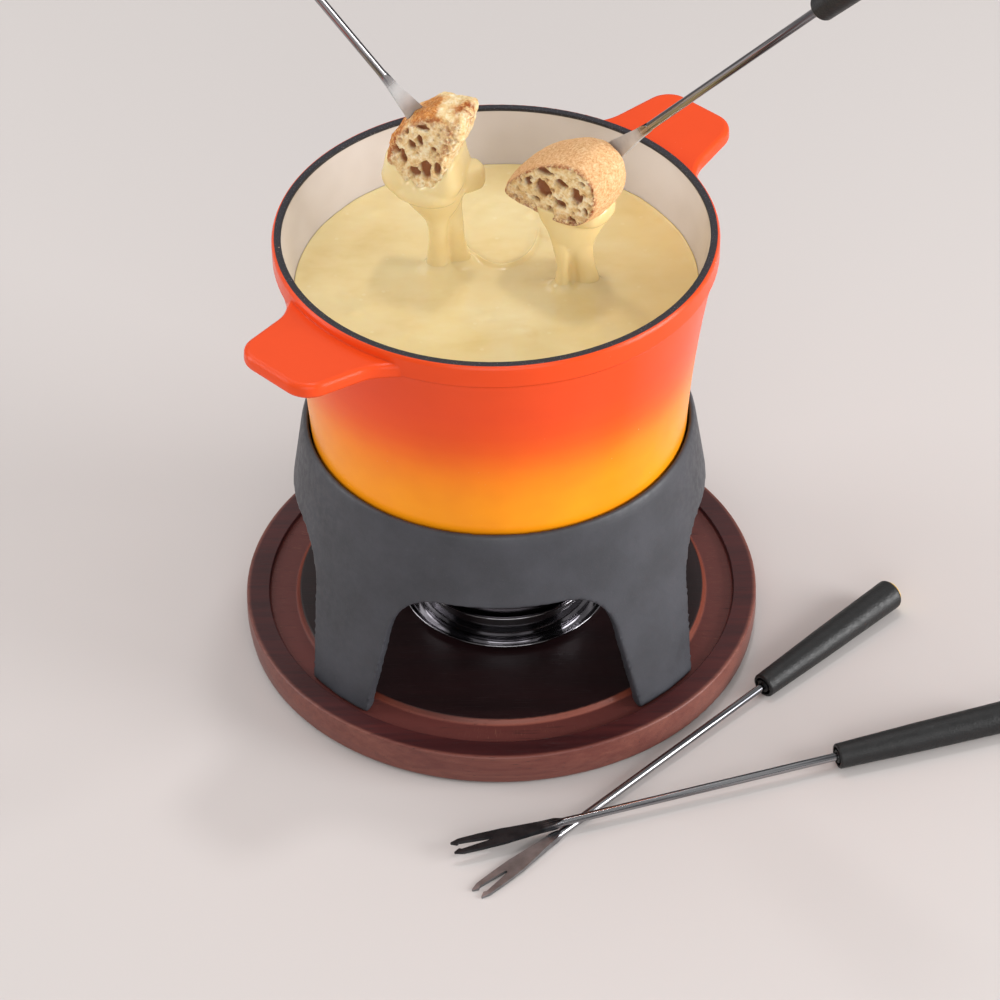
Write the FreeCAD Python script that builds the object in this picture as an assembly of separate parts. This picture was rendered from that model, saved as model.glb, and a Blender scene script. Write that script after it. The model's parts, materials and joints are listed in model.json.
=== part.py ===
"""Fondue set: cast pot on a cast stand, spirit burner, turned wooden base and four forks.

Frame: origin at the centre of the base's underside, +Z up, lengths in millimetres.
Each node is written to parts/NODE.step.
"""
import FreeCAD
import Part
import math
import os

from FreeCAD import Matrix, Placement, Rotation, Vector

X_AXIS = Vector(1, 0, 0)
Z_AXIS = Vector(0, 0, 1)
FULL_TURN = 360.0

# Wooden base
BASE_RADIUS = 121.0
BASE_HEIGHT = 17.6
GROOVE_OUTER_RADIUS = 110.0
GROOVE_INNER_RADIUS = 97.2
GROOVE_DEPTH = 2.7
GROOVE_BEVEL = 1.9
GROOVE_FLOOR_Z = BASE_HEIGHT - GROOVE_DEPTH

# Cast stand
STAND_TOP_Z = 121.5
STAND_FOOT_RADIUS = 107.8
STAND_WAIST_RADIUS = 95.2
STAND_WAIST_Z = 86.0
STAND_SHOULDER_RADIUS = 90.3
STAND_WALL = 5.6
STAND_MOUTH_RADIUS = 86.9
LEDGE_TOP_Z = 113.0
LEDGE_THICKNESS = 7.0
LEDGE_RADIUS = 74.0
ARCH_CROWN_Z = 84.2
ARCH_CORNER_RADIUS = 31.0
ARCH_FLAT_HALF = 31.1
ARCH_SPLAY = 13.0
ARCH_PLANE = 100.0

# Cast pot
POT_BOTTOM_Z = LEDGE_TOP_Z
POT_BOTTOM_RADIUS = 85.5
POT_BELLY_RADIUS = 87.8
POT_BELLY_Z = 162.0
POT_BELLY_CURVE = 700.0
POT_NECK_RADIUS = 96.9
POT_NECK_Z = 211.0
LIP_RADIUS = 98.4
LIP_BOTTOM_Z = 212.2
RIM_Z = 222.6
RIM_OUTER_RADIUS = 97.6
RIM_INNER_RADIUS = 94.2
POT_WALL = 3.8
POT_FLOOR = 4.6
CHEESE_Z = 194.0

# Pot handles
TAB_AZIMUTH = 45.0
TAB_TIP_RADIUS = 135.5
TAB_TOP_Z = 218.6
TAB_THICKNESS = 7.3
TAB_ROOT_HALF = 37.0
TAB_NECK_RADIUS = 102.5
TAB_NECK_HALF = 26.8
TAB_TIP_HALF = 21.0
TAB_NECK_ROUND = 20.0
TAB_CORNER_ROUND = 12.0
TAB_EDGE_ROUND = 2.4
TAB_LIFT = 5.0

# Spirit burner
BURNER_X = 2.0
TRAY_RADIUS = 50.0
TRAY_HEIGHT = 2.6
SHEET = 0.8
SHELL_RADIUS = 43.6
SHELL_TOP_Z = 32.4
CUP_RADIUS = 30.0
CUP_TOP_Z = 35.0
PAD_TOP_Z = 32.6
GAUZE_THICKNESS = 0.7
HOOD_RADIUS = 40.0
HOOD_TOP_Z = 43.0
LID_SEAT_Z = 40.2
FLAME_RADIUS = 21.0
SHUTTER_INNER_RADIUS = 40.05
SHUTTER_BOTTOM_Z = 31.0
SHUTTER_TOP_Z = 40.0
VENT_AZIMUTHS = (0.0, 45.0, 90.0, 135.0, 180.0)
VENT_HALF_ANGLE = 7.0
VENT_BOTTOM_Z = 33.5
VENT_TOP_Z = 38.5
LEVER_AZIMUTH = 79.0
LEVER_LENGTH = 46.0
LEVER_RADIUS = 1.6
LEVER_PAD_RADIUS = 2.3
LEVER_Z = 36.0
KNOB_RADIUS = 5.0
KNOB_LENGTH = 15.0

# Forks, laid out along +X from the tine tips
BLADE_LENGTH = 52.0
SLOT_LENGTH = 19.0
BLADE_THICKNESS = 1.6
BLADE_HALF = 4.5
SHAFT_RADIUS = 1.9
GRIP_FRONT = 183.0
GRIP_LENGTH = 89.0
GRIP_FRONT_RADIUS = 5.85
GRIP_MIDDLE_RADIUS = 6.75
GRIP_REAR_RADIUS = 7.35
GRIP_POCKET_DEPTH = 4.0
GRIP_POCKET_WALL = 1.4
GRIP_BOSS_RADIUS = 3.1
RIB_COUNT = 4
RIB_WIDTH = 1.2
TANG_LENGTH = 38.0
CAP_RADIUS = 6.2
CAP_DEPTH = 3.0
CAP_CROWN = 1.6

# Where each fork lies: tine tips, direction to the grip, way the blade's face looks
VIEW_SIDE = Vector(0, -0.764, 0.646)
FORKS = {
    "fork_1": (Vector(-13.4, -188.8, 0.66), (43.0, 1.65), Z_AXIS),
    "fork_2": (Vector(-24.2, -165.8, 6.2), (17.0, 0.25), Z_AXIS),
    "fork_3": (Vector(-21.6, 13.8, 256.5), (-163.2, 58.8), VIEW_SIDE),
    "fork_4": (Vector(41.1, 16.1, 243.1), (-43.6, 47.6), VIEW_SIDE),
}

# Bread chunks held on forks 3 and 4: centre, half sizes, turn about Z, tilt
BREADS = {
    "bread_left": ("fork_3", Vector(-27.0, 11.0, 260.0), Vector(18.5, 14.5, 22.0), -20.0, 4.0),
    "bread_right": ("fork_4", Vector(30.5, 3.0, 244.0), Vector(18.5, 15.0, 16.0), -29.0, -6.0),
}
BREAD_ROUND = 6.0


def rounded_edges(corners, to_point):
    """Edges of a closed outline through (u, v, radius) corners, mapped by to_point."""
    count = len(corners)
    rounds = []
    for index, (u, v, radius) in enumerate(corners):
        here = Vector(u, v, 0)
        before = Vector(*corners[index - 1][:2], 0) - here
        after = Vector(*corners[(index + 1) % count][:2], 0) - here
        before.normalize()
        after.normalize()
        half = before.getAngle(after) / 2
        middle_way = before + after
        if radius and middle_way.Length > 1e-9:
            middle_way.normalize()
            setback = radius / math.tan(half)
            inset = radius / math.sin(half) - radius
            rounds.append((here + before * setback, here + middle_way * inset, here + after * setback))
        else:
            rounds.append((here, None, here))
    edges = []
    for index, (start, middle, end) in enumerate(rounds):
        if middle:
            edges.append(Part.Arc(to_point(start), to_point(middle), to_point(end)).toShape())
        following = rounds[(index + 1) % count][0]
        if (following - end).Length > 1e-6:
            edges.append(Part.LineSegment(to_point(end), to_point(following)).toShape())
    return edges


def rounded_face(corners, to_point):
    wire = Part.Wire(Part.__sortEdges__(rounded_edges(corners, to_point)))
    return Part.Face(wire)


def turned(corners):
    """Solid of revolution about Z from (radius, height, rounding) corners."""
    face = rounded_face(corners, lambda p: Vector(p.x, 0, p.y))
    solid = face.revolve(Vector(0, 0, 0), Z_AXIS, FULL_TURN)
    return solid if solid.Volume > 0 else solid.reversed()


def turned_along_x(corners):
    """Solid of revolution about X from (distance, radius, rounding) corners."""
    face = rounded_face(corners, lambda p: Vector(p.x, 0, p.y))
    solid = face.revolve(Vector(0, 0, 0), X_AXIS, FULL_TURN)
    return solid if solid.Volume > 0 else solid.reversed()


def plate(corners, bottom, thickness):
    """Flat plate from (x, y, rounding) corners, lying between two heights."""
    face = rounded_face(corners, lambda p: Vector(p.x, p.y, bottom))
    return face.extrude(Vector(0, 0, thickness))


def drum(radius, bottom, top):
    return Part.makeCylinder(radius, top - bottom, Vector(0, 0, bottom))


def ring(outer, inner, bottom, top):
    return drum(outer, bottom, top).cut(drum(inner, bottom - 1, top + 1))


def wooden_base():
    return turned([
        (0, 0, 0),
        (BASE_RADIUS - 1.2, 0, 3.2),
        (BASE_RADIUS, BASE_HEIGHT / 2, 30),
        (BASE_RADIUS - 0.3, BASE_HEIGHT, 1.0),
        (GROOVE_OUTER_RADIUS, BASE_HEIGHT, 0.4),
        (GROOVE_OUTER_RADIUS - 0.4, GROOVE_FLOOR_Z, 0.8),
        (GROOVE_INNER_RADIUS, GROOVE_FLOOR_Z, 1.2),
        (GROOVE_INNER_RADIUS - GROOVE_BEVEL, BASE_HEIGHT, 1.2),
        (0, BASE_HEIGHT, 0),
    ])


def arch_outline(distance):
    """Outline of one arch on the plane this far from the axis; its sides keep to the same azimuths."""
    splay = math.radians(ARCH_SPLAY)
    springing_x = ARCH_FLAT_HALF + ARCH_CORNER_RADIUS / math.cos(splay)
    corner_z = ARCH_CROWN_Z - ARCH_CORNER_RADIUS
    top_half = springing_x - ARCH_CORNER_RADIUS * math.tan(splay)
    foot_half = springing_x + corner_z * math.tan(splay)
    corners = [
        (-foot_half, 0, 0),
        (-top_half, ARCH_CROWN_Z, ARCH_CORNER_RADIUS),
        (top_half, ARCH_CROWN_Z, ARCH_CORNER_RADIUS),
        (foot_half, 0, 0),
    ]
    wire = rounded_face(corners, lambda p: Vector(p.x, 0, p.y)).OuterWire
    narrowed = Matrix()
    narrowed.scale(distance / ARCH_PLANE, 1, 1)
    wire = wire.transformGeometry(narrowed)
    wire.translate(Vector(0, -distance, 0))
    return wire


def arch_cutter():
    """Wedge from the axis outwards that cuts one arch with radial side walls."""
    return Part.makeLoft([arch_outline(0.3 * ARCH_PLANE), arch_outline(1.3 * ARCH_PLANE)], True, True)


def cast_stand():
    ledge_bottom = LEDGE_TOP_Z - LEDGE_THICKNESS
    shell = turned([
        (STAND_FOOT_RADIUS, GROOVE_FLOOR_Z, 1.2),
        (STAND_WAIST_RADIUS, STAND_WAIST_Z, 500),
        (STAND_SHOULDER_RADIUS, STAND_TOP_Z - 4.5, 7),
        (STAND_SHOULDER_RADIUS - 1.5, STAND_TOP_Z, 1.8),
        (STAND_MOUTH_RADIUS, STAND_TOP_Z, 0.5),
        (STAND_MOUTH_RADIUS - 0.4, LEDGE_TOP_Z, 0.8),
        (LEDGE_RADIUS, LEDGE_TOP_Z, 1.5),
        (LEDGE_RADIUS + 1.5, ledge_bottom, 2.5),
        (STAND_WAIST_RADIUS - STAND_WALL - 2.5, ledge_bottom - 4, 6),
        (STAND_WAIST_RADIUS - STAND_WALL, STAND_WAIST_Z, 300),
        (STAND_FOOT_RADIUS - STAND_WALL, GROOVE_FLOOR_Z, 1.2),
    ])
    for quarter in range(4):
        arch = arch_cutter()
        arch.rotate(Vector(0, 0, 0), Z_AXIS, 90 * quarter)
        shell = shell.cut(arch)
    return shell


def pot_outside():
    return turned([
        (0, POT_BOTTOM_Z, 0),
        (POT_BOTTOM_RADIUS, POT_BOTTOM_Z, 6),
        (POT_BELLY_RADIUS, POT_BELLY_Z, POT_BELLY_CURVE),
        (POT_NECK_RADIUS, POT_NECK_Z, 1.5),
        (LIP_RADIUS, LIP_BOTTOM_Z, 1.2),
        (LIP_RADIUS, RIM_Z - 1.6, 1.0),
        (RIM_OUTER_RADIUS, RIM_Z, 0.6),
        (0, RIM_Z, 0),
    ])


def pot_cavity(top_z):
    """Inside of the pot up to a height, following the wall at its thickness."""
    full = turned([
        (0, POT_BOTTOM_Z + POT_FLOOR, 0),
        (POT_BOTTOM_RADIUS - POT_WALL, POT_BOTTOM_Z + POT_FLOOR, 10),
        (POT_BELLY_RADIUS - POT_WALL, POT_BELLY_Z, POT_BELLY_CURVE),
        (RIM_INNER_RADIUS, RIM_Z - 2, 4),
        (RIM_INNER_RADIUS, RIM_Z + 1, 0),
        (0, RIM_Z + 1, 0),
    ])
    return full.common(drum(LIP_RADIUS, POT_BOTTOM_Z, top_z))


def handle_tab():
    """Flat tab along +X, flared where it grows out of the lip."""
    root = RIM_INNER_RADIUS - 6
    corners = [
        (root, -TAB_ROOT_HALF, 0),
        (TAB_NECK_RADIUS, -TAB_NECK_HALF, TAB_NECK_ROUND),
        (TAB_TIP_RADIUS, -TAB_TIP_HALF, TAB_CORNER_ROUND),
        (TAB_TIP_RADIUS, TAB_TIP_HALF, TAB_CORNER_ROUND),
        (TAB_NECK_RADIUS, TAB_NECK_HALF, TAB_NECK_ROUND),
        (root, TAB_ROOT_HALF, 0),
    ]
    tab = plate(corners, -TAB_THICKNESS, TAB_THICKNESS)
    outer_edges = []
    for edge in tab.Edges:
        box = edge.BoundBox
        if box.ZLength < 0.01 and box.XMax > root + 1:
            outer_edges.append(edge)
    tab = tab.makeFillet(TAB_EDGE_ROUND, outer_edges)
    tab.rotate(Vector(LIP_RADIUS, 0, 0), Vector(0, 1, 0), -TAB_LIFT)
    tab.translate(Vector(0, 0, TAB_TOP_Z))
    return tab


def cast_pot():
    pot = pot_outside()
    for azimuth in (TAB_AZIMUTH, TAB_AZIMUTH + 180):
        tab = handle_tab()
        tab.rotate(Vector(0, 0, 0), Z_AXIS, azimuth)
        pot = pot.fuse(tab)
    return pot.cut(pot_cavity(RIM_Z + 1)).removeSplitter()


def melted_cheese():
    return pot_cavity(CHEESE_Z)


def vents(inner, outer):
    """Openings through a thin drum wall, round its back half."""
    cutters = []
    length = outer - inner
    width = 2 * inner * math.tan(math.radians(VENT_HALF_ANGLE))
    for azimuth in VENT_AZIMUTHS:
        slot = Part.makeBox(length, width, VENT_TOP_Z - VENT_BOTTOM_Z,
                            Vector(inner, -width / 2, VENT_BOTTOM_Z))
        slot.rotate(Vector(0, 0, 0), Z_AXIS, azimuth)
        cutters.append(slot)
    return Part.makeCompound(cutters)


def burner_tray():
    return turned([
        (0, BASE_HEIGHT, 0),
        (TRAY_RADIUS - 2.6, BASE_HEIGHT, 1.6),
        (TRAY_RADIUS, BASE_HEIGHT + TRAY_HEIGHT, 0.3),
        (TRAY_RADIUS - 0.9, BASE_HEIGHT + TRAY_HEIGHT, 0.3),
        (TRAY_RADIUS - 3.3, BASE_HEIGHT + SHEET, 1.2),
        (0, BASE_HEIGHT + SHEET, 0),
    ])


def burner_shell():
    floor = BASE_HEIGHT + SHEET
    return turned([
        (0, floor, 0),
        (SHELL_RADIUS - 0.8, floor, 2.4),
        (SHELL_RADIUS, SHELL_TOP_Z - 1.3, 0.3),
        (SHELL_RADIUS + 0.6, SHELL_TOP_Z - 0.9, 0.3),
        (SHELL_RADIUS + 0.6, SHELL_TOP_Z, 0.4),
        (SHELL_RADIUS - SHEET, SHELL_TOP_Z, 0.3),
        (SHELL_RADIUS - 0.8 - SHEET, floor + SHEET, 0.8),
        (0, floor + SHEET, 0),
    ])


def fuel_cup():
    floor = BASE_HEIGHT + 2 * SHEET
    return turned([
        (0, floor, 0),
        (CUP_RADIUS, floor, 2.5),
        (CUP_RADIUS, CUP_TOP_Z - SHEET, 0.5),
        (CUP_RADIUS + 2.2, CUP_TOP_Z - SHEET, 0.3),
        (CUP_RADIUS + 2.2, CUP_TOP_Z, 0.3),
        (CUP_RADIUS - SHEET, CUP_TOP_Z, 0.5),
        (CUP_RADIUS - SHEET, floor + SHEET, 1.7),
        (0, floor + SHEET, 0),
    ])


def absorbent_pad():
    floor = BASE_HEIGHT + 3 * SHEET
    return turned([
        (0, floor, 0),
        (CUP_RADIUS - SHEET, floor, 1.7),
        (CUP_RADIUS - SHEET, PAD_TOP_Z, 0),
        (0, PAD_TOP_Z, 0),
    ])


def burner_gauze():
    return turned([
        (0, PAD_TOP_Z, 0),
        (CUP_RADIUS - SHEET, PAD_TOP_Z, 0),
        (CUP_RADIUS - SHEET, PAD_TOP_Z + GAUZE_THICKNESS, 0.3),
        (0, PAD_TOP_Z + GAUZE_THICKNESS + 0.5, 0),
    ])


def burner_band():
    """Vented band that stands in the shell and carries the turning shutter."""
    band = ring(HOOD_RADIUS, HOOD_RADIUS - SHEET, BASE_HEIGHT + 2 * SHEET, LID_SEAT_Z)
    return band.cut(vents(HOOD_RADIUS - 3, HOOD_RADIUS + 3))


def burner_lid():
    """Pressed ring on top of the band, open in the middle for the flame."""
    return turned([
        (HOOD_RADIUS, LID_SEAT_Z, 0),
        (HOOD_RADIUS, HOOD_TOP_Z, 1.6),
        (FLAME_RADIUS + 6, HOOD_TOP_Z - 1.2, 3),
        (FLAME_RADIUS, HOOD_TOP_Z - 1.2, 0.3),
        (FLAME_RADIUS, HOOD_TOP_Z - 1.2 - SHEET, 0.3),
        (FLAME_RADIUS + 6, HOOD_TOP_Z - 1.2 - SHEET, 2),
        (HOOD_RADIUS - SHEET, HOOD_TOP_Z - SHEET, 0.8),
        (HOOD_RADIUS - SHEET, LID_SEAT_Z, 0),
    ])


def regulator_shutter():
    """Sliding ring that covers or opens the hood's vents."""
    outer = SHUTTER_INNER_RADIUS + SHEET
    band = ring(outer, SHUTTER_INNER_RADIUS, SHUTTER_BOTTOM_Z, SHUTTER_TOP_Z)
    bead = turned([
        (outer - 0.2, SHUTTER_TOP_Z - 1.6, 0),
        (outer + 0.8, SHUTTER_TOP_Z - 1.6, 0.6),
        (outer + 0.8, SHUTTER_TOP_Z, 0.6),
        (outer - 0.2, SHUTTER_TOP_Z, 0),
    ])
    return band.fuse(bead).cut(vents(HOOD_RADIUS - 3, HOOD_RADIUS + 3)).removeSplitter()


def turn_to_lever(shape):
    """Stands a piece that was laid along +X from the shutter's wall on the lever's azimuth."""
    shape.translate(Vector(SHUTTER_INNER_RADIUS + SHEET, 0, LEVER_Z))
    shape.rotate(Vector(0, 0, 0), Z_AXIS, LEVER_AZIMUTH)
    return shape


def regulator_lever():
    """Flattened pad seated on the shutter's wall, carrying the lever's rod."""
    rod = Part.makeCylinder(LEVER_RADIUS, LEVER_LENGTH, Vector(0, 0, 0), X_AXIS)
    pad = Part.makeCylinder(LEVER_PAD_RADIUS, 2.0, Vector(-0.5, 0, 0), X_AXIS)
    lever = turn_to_lever(rod.fuse(pad))
    return lever.cut(drum(SHUTTER_INNER_RADIUS + SHEET, 0, HOOD_TOP_Z)).removeSplitter()


def regulator_knob():
    front = LEVER_LENGTH - KNOB_LENGTH
    knob = turned_along_x([
        (front, LEVER_RADIUS, 0),
        (front, KNOB_RADIUS - 1.2, 0.8),
        (front + 0.6 * KNOB_LENGTH, KNOB_RADIUS, 12),
        (LEVER_LENGTH + 2, KNOB_RADIUS - 0.6, 2.4),
        (LEVER_LENGTH + 2, 0, 0),
        (LEVER_LENGTH, 0, 0),
        (LEVER_LENGTH, LEVER_RADIUS, 0),
    ])
    return turn_to_lever(knob)


def blade_outline():
    """Plan of the flattened end: one slot between two barbed tines."""
    half = [
        (BLADE_LENGTH, SHAFT_RADIUS, 0),
        (BLADE_LENGTH - 10, SHAFT_RADIUS + 0.5, 14),
        (SLOT_LENGTH + 6, BLADE_HALF - 0.2, 12),
        (SLOT_LENGTH - 5, BLADE_HALF, 20),
        (4.5, BLADE_HALF - 0.2, 6),
        (0, BLADE_HALF - 1.4, 0.4),
        (3.4, BLADE_HALF - 3.1, 0.3),
        (4.6, BLADE_HALF - 2.3, 0.3),
        (SLOT_LENGTH - 1, 0.75, 4),
        (SLOT_LENGTH, 0.55, 0.5),
    ]
    mirrored = []
    for x, y, radius in reversed(half):
        mirrored.append((x, -y, radius))
    return half + mirrored


def fork_steel():
    """Tines, blade, round shaft and the tang inside the grip, forged in one piece."""
    outline = plate(blade_outline(), -SHAFT_RADIUS, 2 * SHAFT_RADIUS)
    half = BLADE_THICKNESS / 2
    taper = rounded_face([
        (0, -0.35, 0.2),
        (5, -half, 10),
        (BLADE_LENGTH - 24, -half, 30),
        (BLADE_LENGTH, -SHAFT_RADIUS, 0),
        (BLADE_LENGTH, SHAFT_RADIUS, 0),
        (BLADE_LENGTH - 24, half, 30),
        (5, half, 10),
        (0, 0.35, 0.2),
    ], lambda p: Vector(p.x, -2 * BLADE_HALF, p.y)).extrude(Vector(0, 4 * BLADE_HALF, 0))
    neck = turned_along_x([
        (-1, 0, 0),
        (-1, 3 * BLADE_HALF, 0),
        (BLADE_LENGTH - 18, 1.3 * BLADE_HALF, 20),
        (BLADE_LENGTH, SHAFT_RADIUS, 0),
        (BLADE_LENGTH, 0, 0),
    ])
    shaft = Part.makeCylinder(SHAFT_RADIUS, GRIP_FRONT + TANG_LENGTH - BLADE_LENGTH,
                              Vector(BLADE_LENGTH, 0, 0), X_AXIS)
    return outline.common(taper).common(neck).fuse(shaft).removeSplitter()


def fork_grip():
    """Barrel grip with a ribbed pocket round the shaft and a seat for the coloured cap."""
    rear = GRIP_FRONT + GRIP_LENGTH
    barrel = turned_along_x([
        (GRIP_FRONT, 0, 0),
        (GRIP_FRONT, GRIP_FRONT_RADIUS, 1.0),
        (GRIP_FRONT + 0.45 * GRIP_LENGTH, GRIP_MIDDLE_RADIUS, 900),
        (rear, GRIP_REAR_RADIUS, 2.0),
        (rear, 0, 0),
    ])
    pocket = Part.makeCylinder(GRIP_FRONT_RADIUS - GRIP_POCKET_WALL, GRIP_POCKET_DEPTH,
                               Vector(GRIP_FRONT, 0, 0), X_AXIS)
    pocket = pocket.cut(Part.makeCylinder(GRIP_BOSS_RADIUS, GRIP_POCKET_DEPTH,
                                          Vector(GRIP_FRONT, 0, 0), X_AXIS))
    for index in range(RIB_COUNT):
        rib = Part.makeBox(GRIP_POCKET_DEPTH, RIB_WIDTH, GRIP_FRONT_RADIUS,
                           Vector(GRIP_FRONT + 0.8, -RIB_WIDTH / 2, 0))
        rib.rotate(Vector(0, 0, 0), X_AXIS, index * FULL_TURN / RIB_COUNT)
        pocket = pocket.cut(rib)
    bore = Part.makeCylinder(SHAFT_RADIUS, TANG_LENGTH, Vector(GRIP_FRONT, 0, 0), X_AXIS)
    seat = Part.makeCylinder(CAP_RADIUS, CAP_DEPTH, Vector(rear - CAP_DEPTH, 0, 0), X_AXIS)
    return barrel.cut(pocket).cut(bore).cut(seat)


def fork_cap():
    rear = GRIP_FRONT + GRIP_LENGTH
    return turned_along_x([
        (rear - CAP_DEPTH, 0, 0),
        (rear - CAP_DEPTH, CAP_RADIUS, 0),
        (rear + 0.1, CAP_RADIUS, 0.5),
        (rear + CAP_CROWN, 0.6 * CAP_RADIUS, 4),
        (rear + CAP_CROWN, 0, 0),
    ])


def laid(shape, fork):
    """Moves a piece drawn along +X to the place where its fork lies."""
    tips, (azimuth, elevation), face = FORKS[fork]
    azimuth = math.radians(azimuth)
    elevation = math.radians(elevation)
    along = Vector(math.cos(azimuth) * math.cos(elevation),
                   math.sin(azimuth) * math.cos(elevation), math.sin(elevation))
    side = face.cross(along)
    side.normalize()
    up = along.cross(side)
    frame = Matrix(along.x, side.x, up.x, tips.x,
                   along.y, side.y, up.y, tips.y,
                   along.z, side.z, up.z, tips.z,
                   0, 0, 0, 1)
    placed = shape.copy()
    placed.Placement = Placement(frame)
    return placed


def bread(name):
    """Rounded chunk of bread with the fork's blade pressed into it."""
    fork, centre, half, turn, tilt = BREADS[name]
    chunk = Part.makeBox(2 * half.x, 2 * half.y, 2 * half.z, half * -1)
    chunk = chunk.makeFillet(BREAD_ROUND, chunk.Edges)
    chunk.Placement = Placement(centre, Rotation(Z_AXIS, turn) * Rotation(X_AXIS, tilt))
    return chunk.cut(laid(fork_steel(), fork))


def nodes():
    """Every node's name and shape."""
    shapes = {"wooden_base": wooden_base(), "cast_stand": cast_stand(),
              "cast_pot": cast_pot(), "melted_cheese": melted_cheese()}
    burner = {"burner_tray": burner_tray, "burner_shell": burner_shell, "fuel_cup": fuel_cup,
              "absorbent_pad": absorbent_pad, "burner_gauze": burner_gauze,
              "burner_band": burner_band, "burner_lid": burner_lid,
              "regulator_shutter": regulator_shutter,
              "regulator_lever": regulator_lever, "regulator_knob": regulator_knob}
    for name, make in burner.items():
        shapes[name] = make()
        shapes[name].translate(Vector(BURNER_X, 0, 0))
    for fork in FORKS:
        shapes[fork + "_steel"] = laid(fork_steel(), fork)
        shapes[fork + "_grip"] = laid(fork_grip(), fork)
        shapes[fork + "_cap"] = laid(fork_cap(), fork)
    for name in BREADS:
        shapes[name] = bread(name)
    return shapes


def main():
    os.makedirs("parts", exist_ok=True)
    for name, shape in nodes().items():
        if not shape.isValid():
            raise ValueError(name + " is not a valid shape")
        shape.exportStep("parts/" + name + ".step")
        box = shape.optimalBoundingBox(False)
        print(f"{name:20s} solids {len(shape.Solids)} volume {shape.Volume:10.1f}"
              f" z {box.ZMin:7.2f} {box.ZMax:7.2f}")


main()
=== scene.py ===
import bpy
import bmesh
import json
import math
from mathutils import Matrix, Vector, noise

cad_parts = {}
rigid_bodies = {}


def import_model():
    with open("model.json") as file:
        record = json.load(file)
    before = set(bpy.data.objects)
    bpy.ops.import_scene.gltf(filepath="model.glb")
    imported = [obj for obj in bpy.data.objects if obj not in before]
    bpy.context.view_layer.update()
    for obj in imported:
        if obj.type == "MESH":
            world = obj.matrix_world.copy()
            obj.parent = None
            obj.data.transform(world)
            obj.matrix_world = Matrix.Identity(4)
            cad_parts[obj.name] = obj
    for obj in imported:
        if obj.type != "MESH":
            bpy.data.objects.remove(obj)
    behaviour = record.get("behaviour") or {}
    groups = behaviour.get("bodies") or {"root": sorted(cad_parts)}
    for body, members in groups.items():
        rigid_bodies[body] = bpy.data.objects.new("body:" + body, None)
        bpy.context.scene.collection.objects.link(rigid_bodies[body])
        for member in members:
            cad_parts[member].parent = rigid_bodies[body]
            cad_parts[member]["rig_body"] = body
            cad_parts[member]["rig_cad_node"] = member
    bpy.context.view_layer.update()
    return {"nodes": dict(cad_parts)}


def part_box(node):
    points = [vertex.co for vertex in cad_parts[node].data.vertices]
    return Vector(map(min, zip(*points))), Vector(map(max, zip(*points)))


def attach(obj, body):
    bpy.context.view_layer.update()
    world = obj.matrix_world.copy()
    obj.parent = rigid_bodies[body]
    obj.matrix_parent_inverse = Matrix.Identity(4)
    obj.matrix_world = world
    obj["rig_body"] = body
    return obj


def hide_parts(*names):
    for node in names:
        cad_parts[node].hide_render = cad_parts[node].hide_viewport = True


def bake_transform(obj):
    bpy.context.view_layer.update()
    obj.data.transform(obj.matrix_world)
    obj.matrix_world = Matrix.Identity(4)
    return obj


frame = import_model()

MM = 0.001
NODES = frame["nodes"]

# Places worked out from the frame
RIM_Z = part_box("cast_pot")[1].z
CHEESE_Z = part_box("melted_cheese")[1].z
GAUZE_LOW, GAUZE_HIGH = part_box("burner_gauze")
BASE_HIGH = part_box("wooden_base")[1]

# The pot: where its colour fades from amber to red, its bare rim, and the cone of its inner wall
FADE_LOW, FADE_HIGH = 0.130, 0.190
RIM_INNER, RIM_OUTER = 0.0955, 0.0971
WALL_Z, WALL_RADIUS, WALL_SLOPE = 0.162, 0.0853, 0.176

# The base: its raised middle, how far the wear on that edge goes, and the groove's outer side
PLATEAU_RADIUS = 0.0952
WEAR_RADIUS = 0.0968
GROOVE_RADIUS = 0.1095
BOARD_RADIUS = BASE_HIGH.x

# Light and floor
LIGHT_TARGET = Vector((0, 0, 0.12))
FLOOR_HALF = 30.0

# Camera
SENSOR = 36.0
LENS = 130.1
CAMERA_PLACE = Vector((0.0, -1.2857, 1.1547))
CAMERA_TARGET = Vector((0.0, 0.0, 0.0673))
CAMERA_ROLL = math.radians(-0.91)

# Bread on fork 3: a chunk torn from a loaf, local x right, y away, z up
CHUNK_CENTRE = Vector((-0.0275, 0.0100, 0.2600))
CHUNK_HALF = Vector((0.0172, 0.0118, 0.0255))
CHUNK_TURN = math.radians(-22)
CHUNK_TILT = math.radians(4)

# Bread on fork 4: the end of a small baguette, its cut face towards the pot's front left
BAGUETTE_FACE = Vector((0.0250, -0.0090, 0.2464))
BAGUETTE_AXIS = Vector((0.571, 0.820, 0.040)).normalized()
BAGUETTE_SIDE = Vector((BAGUETTE_AXIS.y, -BAGUETTE_AXIS.x, 0)).normalized()
BAGUETTE_UP = BAGUETTE_SIDE.cross(BAGUETTE_AXIS)
BAGUETTE_LENGTH = 0.030
BAGUETTE_OUTLINE = [(-25.5, -8.5), (-18.0, 3.5), (-4.0, 14.0), (11.0, 18.4),
                    (20.8, 11.0), (19.5, -3.0), (9.5, -13.0), (-8.0, -12.5)]


def colour(code):
    """Linear RGBA of an sRGB hex code."""
    parts = [int(code[i:i + 2], 16) / 255 for i in (0, 2, 4)]
    return [p / 12.92 if p <= 0.04045 else ((p + 0.055) / 1.055) ** 2.4 for p in parts] + [1.0]


def smooth(value, low, high):
    t = min(max((value - low) / (high - low), 0.0), 1.0)
    return t * t * (3 - 2 * t)


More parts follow.
